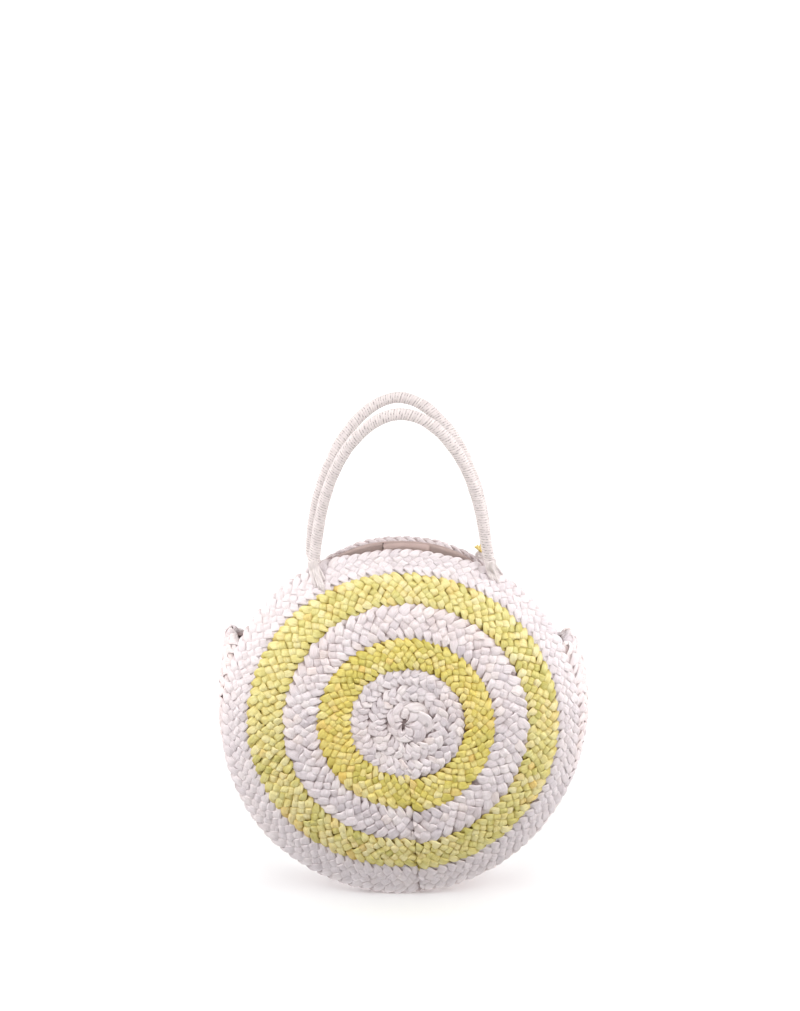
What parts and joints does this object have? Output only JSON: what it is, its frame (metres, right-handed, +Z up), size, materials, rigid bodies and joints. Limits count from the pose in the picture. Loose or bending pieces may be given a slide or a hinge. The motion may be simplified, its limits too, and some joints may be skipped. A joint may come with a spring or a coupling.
{
  "type": "round plaited straw bag",
  "caption": "Round tote bag coiled from plaited straw in white and yellow rings, with a plaited gusset, cloth lining and arched handles of wrapped rope.",
  "frame": {"origin": "on the surface that the bag stands on, under the middle of its box", "axes": "+Z up, towards the handles; the front panel faces -Y; +X is to the right seen from the front"},
  "size_m": [0.3806, 0.1504, 0.5085],
  "materials": {
    "white_plait": "matte, dry plaited husk",
    "yellow_plait": "matte, dyed plaited husk",
    "wrapped_rope": "matte, fibre wound round a rope",
    "lining_cloth": "matte, plain woven cloth"
  },
  "bodies": {
    "root": {"front_centre_curl": "white_plait", "front_centre_ring": "white_plait", "front_inner_yellow_ring": "yellow_plait", "front_white_ring": "white_plait", "front_outer_yellow_ring": "yellow_plait", "front_rim_ring": "white_plait", "gusset_front_band": "white_plait", "front_handle": "wrapped_rope", "back_centre_curl": "white_plait", "back_centre_ring": "white_plait", "back_inner_yellow_ring": "yellow_plait", "back_white_ring": "white_plait", "back_outer_yellow_ring": "yellow_plait", "back_rim_ring": "white_plait", "gusset_back_band": "white_plait", "back_handle": "wrapped_rope", "lining": "lining_cloth"}
  },
  "joints": []
}
